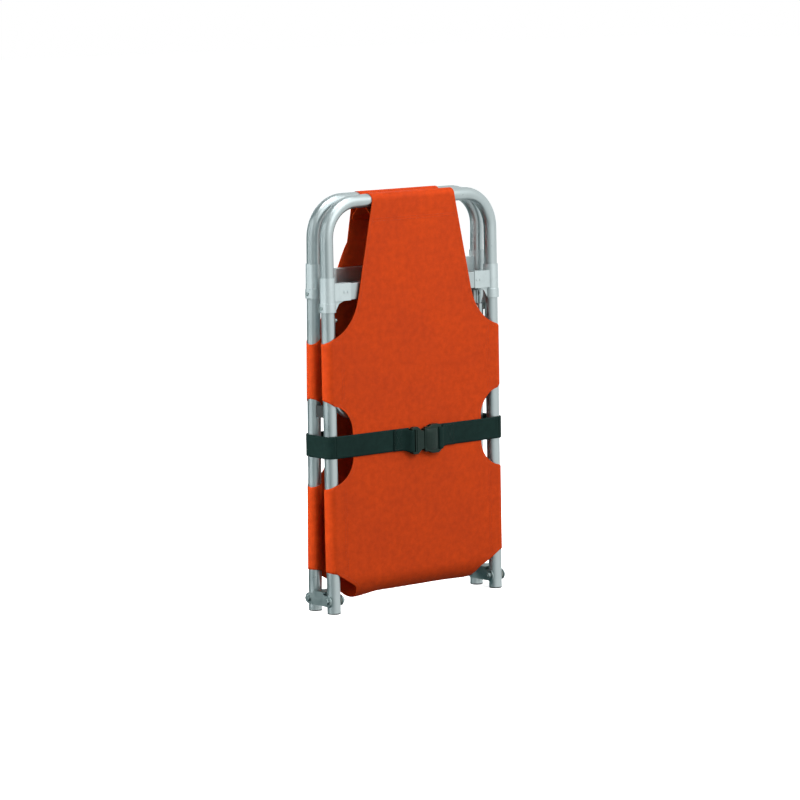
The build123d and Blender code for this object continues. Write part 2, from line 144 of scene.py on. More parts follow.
def scaled(tree, source, scale):
    """Texture coordinates stretched by a scale for each axis."""
    return node(tree, "ShaderNodeMapping", {"Vector": source, "Scale": scale}).outputs[0]


def noise_at(tree, source, scale, detail=4.0, rough=0.55):
    made = node(tree, "ShaderNodeTexNoise", {"Vector": source, "Scale": scale, "Detail": detail, "Roughness": rough})
    return made.outputs["Fac"]


def ramp(tree, factor, low, high, start=0.3, end=0.7):
    """A colour between low and high, over part of the factor's range."""
    made = node(tree, "ShaderNodeValToRGB", {"Fac": factor})
    first, last = made.color_ramp.elements
    first.position, last.position = start, end
    first.color = (*low, 1)
    last.color = (*high, 1)
    return made.outputs["Color"]


def spread(tree, factor, low, high, start=0.3, end=0.7):
    """A number between low and high, over part of the factor's range."""
    made = node(tree, "ShaderNodeMapRange", {0: factor, 1: start, 2: end, 3: low, 4: high})
    return made.outputs[0]


def math(tree, operation, first, second=0.0):
    return node(tree, "ShaderNodeMath", {0: first, 1: second}, operation=operation).outputs[0]


def blend_colour(tree, factor, first, second, mode="MIX"):
    made = node(tree, "ShaderNodeMix", data_type="RGBA", blend_type=mode)
    for index, value in ((0, factor), (6, first), (7, second)):
        if isinstance(value, bpy.types.NodeSocket):
            tree.links.new(value, made.inputs[index])
        else:
            made.inputs[index].default_value = value
    return made.outputs[2]


def bump(tree, shader, layers):
    """Bump from (height, strength, distance) layers, one on another."""
    normal = None
    for height, strength, distance in layers:
        made = node(tree, "ShaderNodeBump", {"Height": height, "Strength": strength, "Distance": distance})
        if normal is not None:
            tree.links.new(normal, made.inputs["Normal"])
        normal = made.outputs[0]
    tree.links.new(normal, shader.inputs["Normal"])


def coords(tree, kind="Object"):
    return node(tree, "ShaderNodeTexCoord").outputs[kind]


# ---------------------------------------------------------------- materials
def woven(name, thread, dark, light, roughness, sheen, depth):
    """Cloth woven from threads of this pitch, with worn and soiled patches."""
    made, tree, shader = material(name, Roughness=roughness, Sheen_Weight=sheen, Sheen_Roughness=0.5)
    shader.inputs["Specular IOR Level"].default_value = 0.06
    uv = coords(tree, "UV")
    pitch = 0.314 / thread
    waves = []
    for direction in ("X", "Y"):
        wave = node(tree, "ShaderNodeTexWave", {"Vector": uv, "Scale": pitch, "Distortion": 0.6, "Detail": 1.0,
                                                "Detail Scale": 2.0}, bands_direction=direction)
        waves.append(wave.outputs["Fac"])
    weave = math(tree, "MULTIPLY", waves[0], waves[1])
    patches = noise_at(tree, uv, 9.0, 6.0)
    slubs = noise_at(tree, scaled(tree, uv, (1.0, 0.12, 1.0)), 900.0, 2.0)
    mottle = noise_at(tree, uv, 70.0, 5.0, 0.65)
    colour = ramp(tree, patches, dark, light, 0.32, 0.68)
    fine = ramp(tree, mottle, (0.88, 0.88, 0.88), (1.06, 1.06, 1.06), 0.35, 0.65)
    colour = blend_colour(tree, 1.0, colour, fine, "MULTIPLY")
    grain = ramp(tree, math(tree, "MULTIPLY", weave, slubs), (0.82, 0.82, 0.82), (1.05, 1.05, 1.05), 0.0, 0.4)
    colour = blend_colour(tree, 0.8, colour, grain, "MULTIPLY")
    tree.links.new(colour, shader.inputs["Base Color"])
    tree.links.new(spread(tree, patches, roughness - 0.08, roughness + 0.08), shader.inputs["Roughness"])
    bump(tree, shader, [(mottle, 0.12, 0.0009), (weave, depth, 0.0003)])
    return made


def metal(name, colour, roughness, streaks, grain, grain_scale, patch_scale=22.0):
    """Bare metal: drawn streaks along Z or X, a fine grain, rubbed patches and a few scratches."""
    made, tree, shader = material(name, Metallic=1.0)
    place_at = coords(tree)
    height = node(tree, "ShaderNodeSeparateXYZ", {0: place_at}).outputs["Z"]
    along_z = noise_at(tree, scaled(tree, place_at, (520.0, 520.0, 9.0)), 1.0, 3.0)
    along_x = noise_at(tree, scaled(tree, place_at, (9.0, 520.0, 520.0)), 1.0, 3.0)
    turn = spread(tree, height, 0.0, 1.0, 0.80, 0.92)
    streak = node(tree, "ShaderNodeMix", {0: turn, 2: along_z, 3: along_x}).outputs[0]
    patches = noise_at(tree, place_at, patch_scale, 5.0, 0.6)
    fine = noise_at(tree, place_at, grain_scale, 3.0)
    scratch = node(tree, "ShaderNodeTexVoronoi",
                   {"Vector": scaled(tree, place_at, (90.0, 90.0, 14.0)), "Scale": 1.0, "Randomness": 1.0},
                   feature="DISTANCE_TO_EDGE").outputs["Distance"]
    mark = spread(tree, scratch, 1.0, 0.0, 0.0, 0.012)
    dull = tuple(value * 0.88 for value in colour)
    tone = ramp(tree, patches, dull, colour, 0.3, 0.62)
    tone = blend_colour(tree, math(tree, "MULTIPLY", streak, streaks), tone, (*[v * 0.8 for v in dull], 1))
    tree.links.new(tone, shader.inputs["Base Color"])
    rough = math(tree, "ADD", spread(tree, patches, roughness + 0.1, roughness - 0.05),
                 math(tree, "MULTIPLY", streak, 0.12))
    tree.links.new(rough, shader.inputs["Roughness"])
    bump(tree, shader, [(streak, 0.10 * streaks, 0.0004), (fine, grain, 0.0003), (mark, 0.05, 0.0003)])
    return made


def moulded(name, colour, roughness, grain=0.12):
    """Moulded plastic or rubber: spark-eroded grain, flow marks, scuffed highlights."""
    made, tree, shader = material(name, Roughness=roughness)
    place_at = coords(tree)
    patches = noise_at(tree, place_at, 60.0, 5.0, 0.6)
    fine = noise_at(tree, place_at, 1600.0, 2.0)
    scuff = noise_at(tree, scaled(tree, place_at, (60.0, 300.0, 300.0)), 1.0, 6.0, 0.7)
    worn = tuple(min(1.0, value * 1.7 + 0.006) for value in colour)
    tone = ramp(tree, patches, tuple(value * 0.85 for value in colour), colour)
    tone = blend_colour(tree, spread(tree, scuff, 0.0, 0.5, 0.6, 0.75), tone, (*worn, 1))
    tree.links.new(tone, shader.inputs["Base Color"])
    tree.links.new(spread(tree, scuff, roughness - 0.06, roughness + 0.16), shader.inputs["Roughness"])
    bump(tree, shader, [(fine, grain, 0.0002), (scuff, 0.04, 0.0004)])
    return made


ORANGE = (0.60, 0.056, 0.0060)
ORANGE_DARK = (0.54, 0.049, 0.0055)
CANVAS = woven("coated_canvas", 0.0009, ORANGE_DARK, ORANGE, 0.72, 0.0, 0.35)
THREAD = woven("orange_thread", 0.0004, (0.42, 0.040, 0.010), (0.60, 0.075, 0.02), 0.7, 0.2, 0.5)
WEBBING = woven("black_webbing", 0.0016, (0.007, 0.021, 0.018), (0.011, 0.030, 0.026), 0.75, 0.0, 0.8)
BLACK_THREAD = woven("black_thread", 0.0004, (0.012, 0.022, 0.019), (0.03, 0.045, 0.04), 0.6, 0.2, 0.5)
TUBE = metal("drawn_aluminium", (0.56, 0.63, 0.64), 0.27, 0.4, 0.03, 900.0)
CAST = metal("cast_aluminium", (0.58, 0.65, 0.66), 0.40, 0.15, 0.16, 1300.0, 40.0)
ZINC = metal("zinc_plate", (0.34, 0.41, 0.41), 0.34, 0.1, 0.08, 500.0, 60.0)
BUCKLE = moulded("black_acetal", (0.005, 0.019, 0.014), 0.30, 0.08)
BUCKLE.node_tree.nodes["Principled BSDF"].inputs["Specular IOR Level"].default_value = 0.25
PLUG = moulded("grey_plug", (0.10, 0.11, 0.11), 0.55)
NYLON = moulded("natural_nylon", (0.70, 0.69, 0.62), 0.45)
RUBBER = moulded("black_rubber", (0.016, 0.020, 0.020), 0.62, 0.25)

FINISH = {"frame_tube": TUBE, "leg_tube": TUBE, "crossbar": TUBE, "sleeve_left": CAST, "sleeve_right": CAST,
          "crossbar_rivets": CAST, "sleeve_screws": ZINC, "rail_end_plugs": PLUG, "leg_feet": RUBBER,
          "leg_pivot_bolts": ZINC,
          "leg_pivot_nuts": ZINC, "leg_pivot_washers": NYLON, "hinge_link_left": ZINC, "hinge_link_right": ZINC,
          "hinge_bolts": ZINC, "hinge_nuts": ZINC, "hinge_washers": NYLON, "rail_buffers": RUBBER,
          "buckle_socket": BUCKLE, "buckle_plug": BUCKLE, "buckle_catch_upper": BUCKLE,
          "buckle_catch_lower": BUCKLE}
for name, cad in NODES.items():
    ending = name.split("_", 1)[1] if name.startswith(("front_", "rear_")) else name
    finish = FINISH.get(name) or FINISH.get(ending)
    if finish is not None:
        if not cad.material_slots:
            cad.data.materials.append(finish)
        for material_slot in cad.material_slots:
            material_slot.material = finish


# ---------------------------------------------------------------- mesh helpers
def mesh_object(name, points, faces, finish, uvs=None, smooth=True):
    data = bpy.data.meshes.new(name)
    data.from_pydata([tuple(point) for point in points], [], faces)
    if uvs is not None:
        layer = data.uv_layers.new(name="flat")
        for loop in data.loops:
            layer.data[loop.index].uv = uvs[loop.vertex_index]
    data.validate()
    if smooth:
        data.shade_smooth()
    made = bpy.data.objects.new(name, data)
    bpy.context.scene.collection.objects.link(made)
    if finish is not None:
        data.materials.append(finish)
    return made


class Shell:
    """Points, faces and flat coordinates collected for one mesh."""

    def __init__(self):
        self.points = []
        self.faces = []
        self.uvs = []

    def add(self, point, uv=(0.0, 0.0)):
        self.points.append(Vector(point))
        self.uvs.append(uv)
        return len(self.points) - 1

    def join(self, first, second, flip=False, closed=False):
        """Quads between two rows of point numbers."""
        count = len(first)
        for index in range(count if closed else count - 1):
            after = (index + 1) % count
            face = (first[index], first[after], second[after], second[index])
            self.faces.append(face[::-1] if flip else face)

    def make(self, name, finish):
        return mesh_object(name, self.points, self.faces, finish, self.uvs)


def solid(obj, thickness, offset=0.0):
    """Real thickness for a sheet, applied to the mesh."""
    modifier = obj.modifiers.new("thickness", "SOLIDIFY")
    modifier.thickness = thickness
    modifier.offset = offset
    modifier.use_even_offset = False
    applied = bpy.data.meshes.new_from_object(obj.evaluated_get(bpy.context.evaluated_depsgraph_get()))
    obj.modifiers.clear()
    obj.data = applied
    obj.data.shade_smooth()
    return obj


# ---------------------------------------------------------------- canvas: from its flat cut to its place
def teardrop(run, seam):
    """(along, out) of cloth that leaves the panel, goes round a tube and comes back to a seam.
    along is measured from the tube's centre line away from the panel, out from its centre plane."""
    open_angle = 2 * atan2(seam, CLOTH_OUT)
    arc_angle = tau - open_angle
    arc = CLOTH_OUT * arc_angle
    if run <= arc:
        angle = run / CLOTH_OUT
        return CLOTH_OUT * sin(angle), CLOTH_OUT * cos(angle)
    leave = (CLOTH_OUT * sin(arc_angle), CLOTH_OUT * cos(arc_angle))
    meet = (-seam, CLOTH_OUT - BEHIND)
    share = (run - arc) / seam
    if share <= 1:
        return tuple(a + (b - a) * share for a, b in zip(leave, meet))
    return meet[0] - (run - arc - seam), meet[1]


def teardrop_length(seam, flap):
    return CLOTH_OUT * (tau - 2 * atan2(seam, CLOTH_OUT)) + seam + flap


HEM_RUN = teardrop_length(HEM_SEAM, HEM_FLAP)
NECK_RUN = teardrop_length(NECK_SEAM, NECK_FLAP)
LOOP_QUARTER = FOLD_R * pi / 2
FLAT_LOW = FOLD_TOP - LOOP_QUARTER


def crease(p, t, half):
    """How far the cloth stands out of its plane: slack between the rails, pull lines and puckers."""
    seed = 3.7 if half == "front" else 9.1
    wide = noise.noise(Vector((p * 5.0, t * 3.2, seed))) * 0.0011
    folds = noise.noise(Vector((p * 21.0 + t * 6.0, t * 9.0, seed + 2))) * 0.00035
    edge = max(0.0, RAIL_X - abs(p))
    slack = min(1.0, edge / 0.06)
    pucker = 0.0
    in_hem = HEM_LOW[0] < t < HEM_LOW[1] or HEM_HIGH[0] < t < HEM_HIGH[1]
    if in_hem:
        near_seam = exp(-(((edge - HEM_SEAM) / 0.011) ** 2))
        pucker = near_seam * (0.00016 * noise.noise(Vector((p * 8, t * 150.0, seed + 5))) - 0.00012)
    pull = 0.0
    for corner in (HEM_LOW[1], HEM_HIGH[0], HEM_HIGH[1]):
        away = hypot(edge, t - corner)
        turn = atan2(t - corner, edge + 0.001)
        pull += 0.00045 * exp(-away / 0.07) * sin(turn * 9.0) * min(1.0, away / 0.012)
    strap = exp(-(((t - (STRAP_Z[0] + STRAP_Z[1]) / 2) / 0.034) ** 4))
    shift = (wide + folds) * slack + pucker + pull * slack
    return shift * (1 - strap) - strap * 0.0003 * slack


def cloth_point(half, p, t):
    """Where a point of the flat cut goes: p across from the middle, t up from the loop."""
    side = SIDE[half]
    out = CLOTH_OUT
    x = p
    if abs(p) > RAIL_X:
        along, out = teardrop(abs(p) - RAIL_X, HEM_SEAM)
        x = (RAIL_X + along) * (1 if p > 0 else -1)
    out += crease(p, t, half) if abs(p) <= RAIL_X else 0.0
    top = HANDLE_Z[half]
    if t > top:
        along, around = teardrop(t - top, NECK_SEAM)
        return place(half, x, around + out - CLOTH_OUT, top + along)
    if t < FOLD_TOP:
        angle = (FOLD_TOP - t) / FOLD_R
        radius = FOLD_R + out - CLOTH_OUT
        share = min(1.0, max(0.0, (abs(x) - DROOP_FROM) / (FOLD_END_X - DROOP_FROM)))
        droop = DROOP[-1 if x < 0 else 1] * share * share * (3 - 2 * share) * sin(angle) ** 2
        return Vector((x, MID_Y + side * radius * cos(angle), FOLD_TOP - radius * sin(angle) - droop))
    point = place(half, x, out, t)
    if t < HEM_LOW[0]:
        share = (t - FOLD_TOP) / (HEM_LOW[0] - FOLD_TOP)
        straight = MID_Y + side * (FOLD_R + out - CLOTH_OUT)
        point.y = straight + (point.y - straight) * share
    return point


def hem_t(zone, slants, t, run):
    """Height of hem cloth that has gone this far round the rail: the cut ends slant as they leave the panel."""
    share = (t - zone[0]) / (zone[1] - zone[0])
    low, high = slants
    return t + (low * (1 - share) + high * share) * sin(pi * min(1.0, run / SLANT_RUN))


def bezier(a, b, c, d, count):
    """Points along a curve from a to d, without a itself."""
    found = []
    for index in range(1, count + 1):
        s = index / count
        r = 1 - s
        weights = (r ** 3, 3 * r * r * s, 3 * r * s * s, s ** 3)
        found.append(tuple(sum(w * q[k] for w, q in zip(weights, (a, b, c, d))) for k in (0, 1)))
    return found


def straight(a, b, step):
    count = max(1, round(hypot(b[0] - a[0], b[1] - a[1]) / step))
    return [tuple(a[k] + (b[k] - a[k]) * index / count for k in (0, 1)) for index in range(1, count + 1)]


NECK = {
    "front": {"top": 0.121, "low": (0.166, 0.705), "pull": (0.0090, -0.042)},
    "rear": {"top": 0.116, "low": (0.131, 0.822), "pull": (0.030, -0.040)},
}


def right_edge(half):
    """The cut's right edge up to the rail's centre line, from the loop to the neck's end."""
    neck = NECK[half]
    rail_low = (RAIL_X, HEM_LOW[0])
    start = (FOLD_END_X, FLAT_LOW)
    edge = [start]
    edge += bezier(start, (FOLD_END_X + 0.008, FLAT_LOW + 0.022), (FOLD_SIDE_X - 0.012, 0.044),
                   (FOLD_SIDE_X, 0.0585), 14)
    edge += straight(edge[-1], rail_low, 0.004)
    edge += straight(edge[-1], (RAIL_X, HEM_LOW[1]), 0.005)
    low_cut = (CUT_X, HEM_LOW[1] + CUT_RISE)
    edge += bezier(edge[-1], (RAIL_X - 0.026, HEM_LOW[1] + 0.004), (CUT_X, low_cut[1] - 0.030), low_cut, 22)
    high_cut = (CUT_X, HEM_HIGH[0] - CUT_RISE)
    edge += straight(edge[-1], high_cut, 0.005)
    edge += bezier(edge[-1], (CUT_X, high_cut[1] + 0.030), (RAIL_X - 0.026, HEM_HIGH[0] - 0.004),
                   (RAIL_X, HEM_HIGH[0]), 22)
    shoulder = (RAIL_X, HEM_HIGH[1])
    edge += straight(edge[-1], shoulder, 0.005)
    low = neck["low"]
    edge += bezier(shoulder, (RAIL_X - 0.040, HEM_HIGH[1] + 0.012),
                   (low[0] + neck["pull"][0], low[1] + neck["pull"][1]), low, 26)
    edge += straight(edge[-1], (neck["top"], HANDLE_Z[half]), 0.005)
    edge += straight(edge[-1], (neck["top"], HANDLE_Z[half] + NECK_RUN), 0.0028)
    return edge


EDGE_BANDS = (0.024, 0.019, 0.0145, 0.0115, 0.0095, 0.0075, 0.005, 0.0025, 0.0012, 0.0)
MIDDLE_COLUMNS = 30


def panel(half):
    """One canvas panel with its half of the loop, hems and neck, as one sheet. Returns it and its flat area."""
    edge = right_edge(half)
    lengths = [0.0]
    for a, b in zip(edge, edge[1:]):
        lengths.append(lengths[-1] + hypot(b[0] - a[0], b[1] - a[1]))
    low, high = edge[0][1], edge[-1][1]
    shell = Shell()
    rows = []
    for (wide, t_edge), length in zip(edge, lengths):
        even = low + (high - low) * length / lengths[-1]
        t_mid = t_edge + 0.3 * (even - t_edge)
        inner = wide - EDGE_BANDS[0]
        half_row = [inner * index / MIDDLE_COLUMNS for index in range(MIDDLE_COLUMNS)]
        half_row += [wide - band for band in EDGE_BANDS]
        row = []
        for p in [-value for value in half_row[:0:-1]] + half_row:
            share = (p / wide) ** 2
            t = t_mid + (t_edge - t_mid) * share
            row.append(shell.add(cloth_point(half, p, t), (p, t)))
        rows.append(row)
    flip = half == "rear"
    for first, second in zip(rows, rows[1:]):
        shell.join(first, second, flip)
    steps = [HEM_RUN * index / 36 for index in range(1, 37)]
    for zone, slants in zip((HEM_LOW, HEM_HIGH), HEM_SLANT[half]):
        inside = [index for index, (wide, t) in enumerate(edge)
                  if abs(wide - RAIL_X) < 1e-6 and zone[0] - 1e-6 <= t <= zone[1] + 1e-6]
        for way in (-1, 1):
            before = None
            for index in inside:
                t = edge[index][1]
                row = [rows[index][0 if way < 0 else -1]]
                for run in steps:
                    p = way * (RAIL_X + run)
                    slanted = hem_t(zone, slants, t, run)
                    row.append(shell.add(cloth_point(half, p, slanted), (p, slanted)))
                if before is not None:
                    shell.join(before, row, flip == (way > 0))
                before = row
    area = sum(polygon_area([shell.uvs[index] for index in face]) for face in shell.faces)
    made = shell.make(f"{half}_canvas_cloth", CANVAS)
    return made, area, high - low


def polygon_area(corners):
    total = sum(a[0] * b[1] - b[0] * a[1] for a, b in zip(corners, corners[1:] + corners[:1]))
    return abs(total) / 2


# ---------------------------------------------------------------- stitching
def stitch(shell, start, end, normal, radius):
    """One thread between two needle holes: a short bowed tube."""
    along = end - start
    across = along.cross(normal).normalized()
    before = None
    for index in range(5):
        s = index / 4
        rise = sin(pi * s) * radius * 1.5 - radius * 0.7
        size = radius * (0.55 + 0.45 * sin(pi * s))
        centre = start + along * s + normal * rise
        ring = []
        for turn in range(6):
            angle = tau * turn / 6
            ring.append(shell.add(centre + (across * cos(angle) + normal * sin(angle)) * size,
                                  (s * along.length, angle * size)))
        if before is not None:
            shell.join(before, ring, closed=True)
        else:
            shell.faces.append(tuple(ring[::-1]))
        before = ring
    shell.faces.append(tuple(before))


def sew(shell, half, line, pitch=0.0042, gap=0.0011, radius=0.00032):
    """A row of stitches along a line given in the flat cut, on the cloth's outer face."""
    lengths = [0.0]
    for a, b in zip(line, line[1:]):
        lengths.append(lengths[-1] + hypot(b[0] - a[0], b[1] - a[1]))

    def at(length):
        for index in range(len(line) - 1):
            if length <= lengths[index + 1] or index == len(line) - 2:
                share = (length - lengths[index]) / max(1e-9, lengths[index + 1] - lengths[index])
                return tuple(line[index][k] + (line[index + 1][k] - line[index][k]) * share for k in (0, 1))

    count = int(lengths[-1] / pitch)
    for index in range(count):
        ends = []
        for offset in (gap / 2, pitch - gap / 2):
            p, t = at(index * pitch + offset)
            point = cloth_point(half, p, t)
            beside = cloth_point(half, p + 0.0008, t)
            above = cloth_point(half, p, t + 0.0008)
            normal = (beside - point).cross(above - point).normalized() * (1 if half == "front" else -1)
            ends.append((point + normal * CLOTH_T / 2, normal))
        stitch(shell, ends[0][0], ends[1][0], ends[0][1], radius)


def inset(line, distance):
    """A line that runs this far inside the cut's right edge."""
    found = []
    for index, point in enumerate(line):
        a = line[max(0, index - 1)]
        b = line[min(len(line) - 1, index + 1)]
        dx, dy = b[0] - a[0], b[1] - a[1]
        size = hypot(dx, dy)
        found.append((point[0] - dy / size * distance, point[1] + dx / size * distance))
    return found


def stitching(half):
    shell = Shell()
    edge = right_edge(half)
    cut = [point for point in edge if HEM_LOW[1] - 1e-6 <= point[1] <= HEM_HIGH[0] + 1e-6]
    foot = [point for point in edge if point[1] <= HEM_LOW[0] + 1e-6]
    neck = [point for point in edge if HEM_HIGH[1] - 1e-6 <= point[1] <= HANDLE_Z[half]]
    free_edges = (foot, cut, neck)
    for way in (-1, 1):
        for line in free_edges:
            inner = inset(line, 0.008)
            sew(shell, half, [(way * p, t) for p, t in inner if p < RAIL_X - 0.006])
        for zone in (HEM_LOW, HEM_HIGH):
            for back in (0.0, 0.006):
                p = way * (RAIL_X - HEM_SEAM - 0.002 - back)
                sew(shell, half, [(p, zone[0] + 0.003), (p, zone[1] - 0.003)])
    for drop in (0.002, 0.008):
        t = HANDLE_Z[half] - NECK_SEAM - drop
        reach = NECK[half]["top"] + 0.001
        sew(shell, half, [(-reach, t), (reach, t)])
    return shell.make(f"{half}_canvas_stitching", THREAD)


for half in SIDE:
    cloth, flat_area, flat_length = panel(half)
    solid(cloth, CLOTH_T)
    seams = stitching(half)
    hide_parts(f"{half}_canvas")
    if half == "front":
        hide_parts("canvas_fold")
    for piece in (cloth, seams):
        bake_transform(piece)


# ---------------------------------------------------------------- strap
RIB_ROWS = 16


def ribbon(shell, path, width=(STRAP_Z[0], STRAP_Z[1]), thickness=STRAP_T, seed=0.0):
    """Webbing along a path of (point on the inner face, outward normal), with rounded selvedges."""
    low, high = width
    section = []
    for index in range(RIB_ROWS + 1):
        z = low + (high - low) * index / RIB_ROWS
        edge = min(z - low, high - z)
        body = thickness * (0.55 + 0.45 * min(1.0, edge / 0.0016) ** 0.5)
        section.append((z, (thickness - body) / 2, (thickness + body) / 2))
    before = None
    length = 0.0
    last = None
    for point, normal in path:
        if last is not None:
            length += (point - last).length
        last = point
        wander = 0.0004 * noise.noise(Vector((length * 9.0, seed, 1.0)))
        ring = []
        for z, _, outer in section:
            ring.append(shell.add(point + normal * outer + Vector((0, 0, z + wander)), (length, z)))
        for z, inner, _ in reversed(section):
            ring.append(shell.add(point + normal * inner + Vector((0, 0, z + wander)), (length, z)))
        if before is None:
            shell.faces.append(tuple(ring[::-1]))
        else:
            shell.join(before, ring, closed=True)
        before = ring
    shell.faces.append(tuple(before))


def front_path(x_from, x_to, lift=0.0, count=60):
    """A flat run over the front panel."""
    found = []
    for index in range(count + 1):
        x = x_from + (x_to - x_from) * index / count
        base = Vector((x, MID_Y - HINGE_GAP / 2 - STRAP_OUT - lift, 0))
        found.append((base, Vector((0, -1, 0))))
    return found


def lean_strap(obj):
    """Tilts a run made upright, so that it lies on the leaning front panel."""
    for vertex in obj.data.vertices:
        vertex.co.y += (vertex.co.z - HINGE_Z) * sin(LEAN)
    return obj


strap_left = Shell()
ribbon(strap_left, front_path(-RAIL_X, BUCKLE_X[0] - 0.0005), seed=1.0)
left_piece = lean_strap(strap_left.make("strap_webbing_front_left", WEBBING))
strap_right = Shell()
ribbon(strap_right, front_path(BUCKLE_X[1] + 0.0005, RAIL_X), seed=2.0)
right_piece = lean_strap(strap_right.make("strap_webbing_front_right", WEBBING))

def buckle_loop(side, name, edge_x, bar, face):
    """Webbing sewn on the strap, over the buckle's end bar and down into its slot. side is -1 for the left."""
    def x_at(inward):
        return edge_x - side * inward

    profile = [(-0.047, STRAP_T, 0.0), (-0.034, STRAP_T, 0.0), (-0.020, STRAP_T + 0.0006, 0.0),
               (-0.013, STRAP_T + 0.0024, 0.3), (-0.008, STRAP_T + 0.0058, 0.7), (-0.004, face - 0.0022, 1.0),
               (-0.0012, face - 0.0004, 1.0), (0.0015, face + 0.0001, 1.0), (bar - 0.0012, face + 0.0001, 1.0),
               (bar + 0.0002, face - 0.0004, 1.0), (bar + 0.0008, face - 0.0018, 1.0),
               (bar + 0.0009, face - 0.006, 1.0), (bar + 0.0009, 0.002, 1.0)]
    points = [Vector((x_at(inward), MID_Y - HINGE_GAP / 2 - STRAP_OUT - depth,
                      share * (BUCKLE_Z - (STRAP_Z[0] + STRAP_Z[1]) / 2))) for inward, depth, share in profile]
    path = []
    for index, point in enumerate(points):
        along = points[min(index + 1, len(points) - 1)] - points[max(index - 1, 0)]
        along.z = 0
        normal = Vector((along.y, -along.x, 0)).normalized() * (-side)
        path.append((point, normal))
    shell = Shell()
    ribbon(shell, path if side < 0 else path[::-1], seed=5.0 + side)
    made = lean_strap(shell.make(name, WEBBING))
    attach(made, "front_half")


buckle_loop(-1, "strap_loop_left", BUCKLE_X[0], 0.005, BUCKLE_T - 0.0004)
buckle_loop(1, "strap_loop_right", BUCKLE_X[1], 0.006, BUCKLE_T)


def buckle_dome():
    """The domed, ribbed face moulded on the socket."""
    shell = Shell()
    low, high = DOME_X
    before = None
    count = 36
    for row in range(count + 1):
        v = 2 * row / count - 1
        ring = []
        for column in range(count + 1):
            u = 2 * column / count - 1
            rise = max(0.0, (1 - u ** 2) * (1 - v ** 4)) ** 0.7
            ribs = 0.00018 * sin(u * 26.0) if abs(v) < 0.7 and abs(u) < 0.45 else 0.0
            x = (low + high) / 2 + u * (high - low) / 2 * (1 - 0.12 * v * v)
            out = STRAP_OUT + BUCKLE_T - 0.0002 + rise * DOME_RISE + ribs
            across_z = v * DOME_REACH
            ring.append(shell.add((x, MID_Y - HINGE_GAP / 2 - out, BUCKLE_Z + across_z), (u * 0.016, across_z)))
        if before is not None:
            shell.join(before, ring, flip=True)
        before = ring
    made = lean_strap(shell.make("buckle_dome", BUCKLE))
    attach(made, "front_half")


buckle_dome()


def strap_tacks(ends):
    """Box stitching and a bar tack where the webbing is sewn back on itself beside the buckle."""
    shell = Shell()
    near, far = ends
    tack = near + (far - near) * 0.14
    low, high = STRAP_Z[0] + 0.004, STRAP_Z[1] - 0.004
    lines = [((near, low), (near, high)), ((far, low), (far, high)), ((near, low), (far, low)),
             ((near, high), (far, high)), ((near, low), (far, high)), ((near, high), (far, low)),
             ((tack, low), (tack, high))]
    out = MID_Y - HINGE_GAP / 2 - STRAP_OUT - 2 * STRAP_T
    for start, end in lines:
        length = hypot(end[0] - start[0], end[1] - start[1])
        count = int(length / 0.0034)
        for index in range(count):
            a, b = ((index + offset) / count for offset in (0.12, 0.88))
            first, second = (Vector((start[0] + (end[0] - start[0]) * s, out, start[1] + (end[1] - start[1]) * s))
                             for s in (a, b))
            stitch(shell, first, second, Vector((0, -1, 0)), 0.00038)
    return shell


TACK_NEAR = 0.022            # buckle's end to the nearer and further side of the sewn box
TACK_FAR = 0.044
left_box = strap_tacks((BUCKLE_X[0] - TACK_NEAR, BUCKLE_X[0] - TACK_FAR))
right_box = strap_tacks((BUCKLE_X[1] + TACK_NEAR, BUCKLE_X[1] + TACK_FAR))
tacks_left = lean_strap(left_box.make("strap_tacks_left", BLACK_THREAD))
tacks_right = lean_strap(right_box.make("strap_tacks_right", BLACK_THREAD))
for piece in (tacks_left, tacks_right):
    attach(piece, "front_half")

middle = (STRAP_Z[0] + STRAP_Z[1]) / 2
back_y = HINGE_GAP / 2 - (middle - HINGE_Z) * sin(LEAN)


def back_path():
    """Round the left rails, across the back and round the right rails."""
    found = []
    corners = ((-RAIL_X, -back_y, -90, -180), (-RAIL_X, back_y, 180, 90), (RAIL_X, back_y, 90, 0),
               (RAIL_X, -back_y, 0, -90))
    for index, (x, y, start, end) in enumerate(corners):
        for step in range(11):
            angle = radians(start + (end - start) * step / 10)
            normal = Vector((cos(angle), sin(angle), 0))
            found.append((Vector((x, MID_Y + y, 0)) + normal * STRAP_OUT, normal))
        if index < 3:
            following = corners[index + 1]
            ahead = radians(following[2])
            target = Vector((following[0], MID_Y + following[1], 0)) + Vector((cos(ahead), sin(ahead), 0)) * STRAP_OUT
            origin, normal = found[-1]
            count = max(3, int((target - origin).length / 0.012))
            for step in range(1, count):
                share = step / count
                sway = 0.0008 * sin(pi * share) * noise.noise(Vector((share * 5, index, 4.0)))
                found.append((origin.lerp(target, share) + normal * sway, normal))
    return found


strap_round = Shell()
ribbon(strap_round, back_path()[::-1], seed=3.0)
back_piece = strap_round.make("strap_webbing_back", WEBBING)
for piece, cad in ((left_piece, "strap_front_left"), (right_piece, "strap_front_right"), (back_piece, "strap_back")):
    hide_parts(cad)
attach(left_piece, "front_half")
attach(right_piece, "front_half")
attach(back_piece, "front_half")
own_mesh(back_piece)


# ---------------------------------------------------------------- stage, light and camera
floor_size = 60.0
corner = floor_size / 2
floor_piece = mesh_object("floor", [(-corner, -corner, 0), (corner, -corner, 0), (corner, corner, 0),
                                    (-corner, corner, 0)], [(0, 1, 2, 3)], None, smooth=False)
floor_material, _, floor_shader = material("pale_floor", Base_Color=(0.93, 0.93, 0.93, 1), Roughness=0.9)
floor_shader.inputs["Emission Color"].default_value = (1, 1, 1, 1)
floor_shader.inputs["Emission Strength"].default_value = 0.72
floor_piece.data.materials.append(floor_material)
floor_piece.visible_diffuse = False
floor_piece.visible_glossy = False

